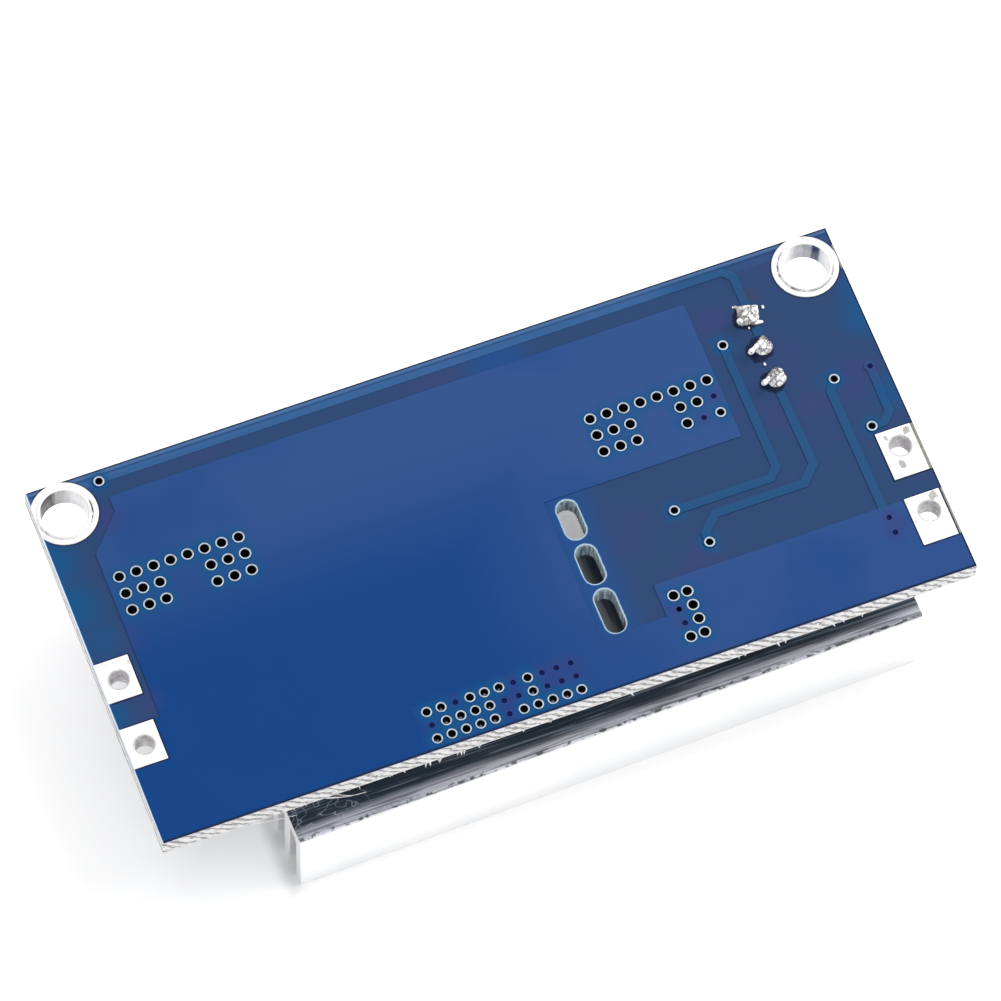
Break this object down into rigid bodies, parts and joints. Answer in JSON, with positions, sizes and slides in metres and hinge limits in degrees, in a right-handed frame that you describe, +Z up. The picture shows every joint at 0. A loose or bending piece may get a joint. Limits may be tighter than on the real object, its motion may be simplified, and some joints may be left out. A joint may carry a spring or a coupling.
{
  "type": "boost converter module",
  "caption": "Adjustable step-up power converter on a small blue circuit board, lying on its finned heat sink with the solder side up.",
  "frame": {"origin": "on the surface the fins stand on, under the middle of the circuit board", "axes": "+X along the board from the input end to the output end, +Y across it towards the edge with the mounting holes, +Z up, out of the solder side"},
  "size_m": [0.0576, 0.0274, 0.0149],
  "materials": {
    "laminate": "blue solder mask over glass-fibre laminate",
    "solder": "hot-dipped tin, uneven",
    "tin": "bright tin plating",
    "fins": "plain extruded aluminium",
    "moulding": "black epoxy moulding",
    "pad": "grey thermal pad",
    "can": "drawn aluminium can",
    "seat": "black moulded seat",
    "ferrite": "dark grey ferrite",
    "winding": "enamelled copper wire",
    "ceramic": "tan ceramic",
    "resistor": "black glaze",
    "trimmer_shell": "blue moulded case",
    "potting": "grey potting compound",
    "brass": "bare brass"
  },
  "bodies": {
    "module": {"ceramic_capacitor_chips": "ceramic", "chip_end_caps": "tin", "circuit_board": "laminate", "component_lands": "solder", "controller_body": "moulding", "controller_leads": "tin", "heat_sink": "fins", "inductor_base": "seat", "inductor_core": "ferrite", "inductor_shield": "ferrite", "inductor_terminals": "tin", "inductor_winding": "winding", "input_capacitor_base": "seat", "input_capacitor_can": "can", "input_capacitor_leads": "tin", "input_mounting_land": "solder", "input_negative_pad": "solder", "input_positive_pad": "solder", "output_capacitor_base": "seat", "output_capacitor_can": "can", "output_capacitor_leads": "tin", "output_mounting_land": "solder", "output_negative_pad": "solder", "output_positive_pad": "solder", "rectifier_body": "moulding", "rectifier_lead_frame": "tin", "rectifier_thermal_pad": "pad", "resistor_chips": "resistor", "transistor_body": "moulding", "transistor_lead_frame": "tin", "transistor_thermal_pad": "pad", "trimmer_case": "trimmer_shell", "trimmer_pins": "tin", "trimmer_potting": "potting", "trimmer_solder_joints": "solder"},
    "adjuster": {"trimmer_screw": "brass"}
  },
  "joints": [
    {"name": "adjuster_turn", "type": "hinge", "parent": "module", "child": "adjuster", "pos_m": [0.02043, 0.00972, 0.0021], "axis": [0, 0, 1], "continuous": true}
  ]
}
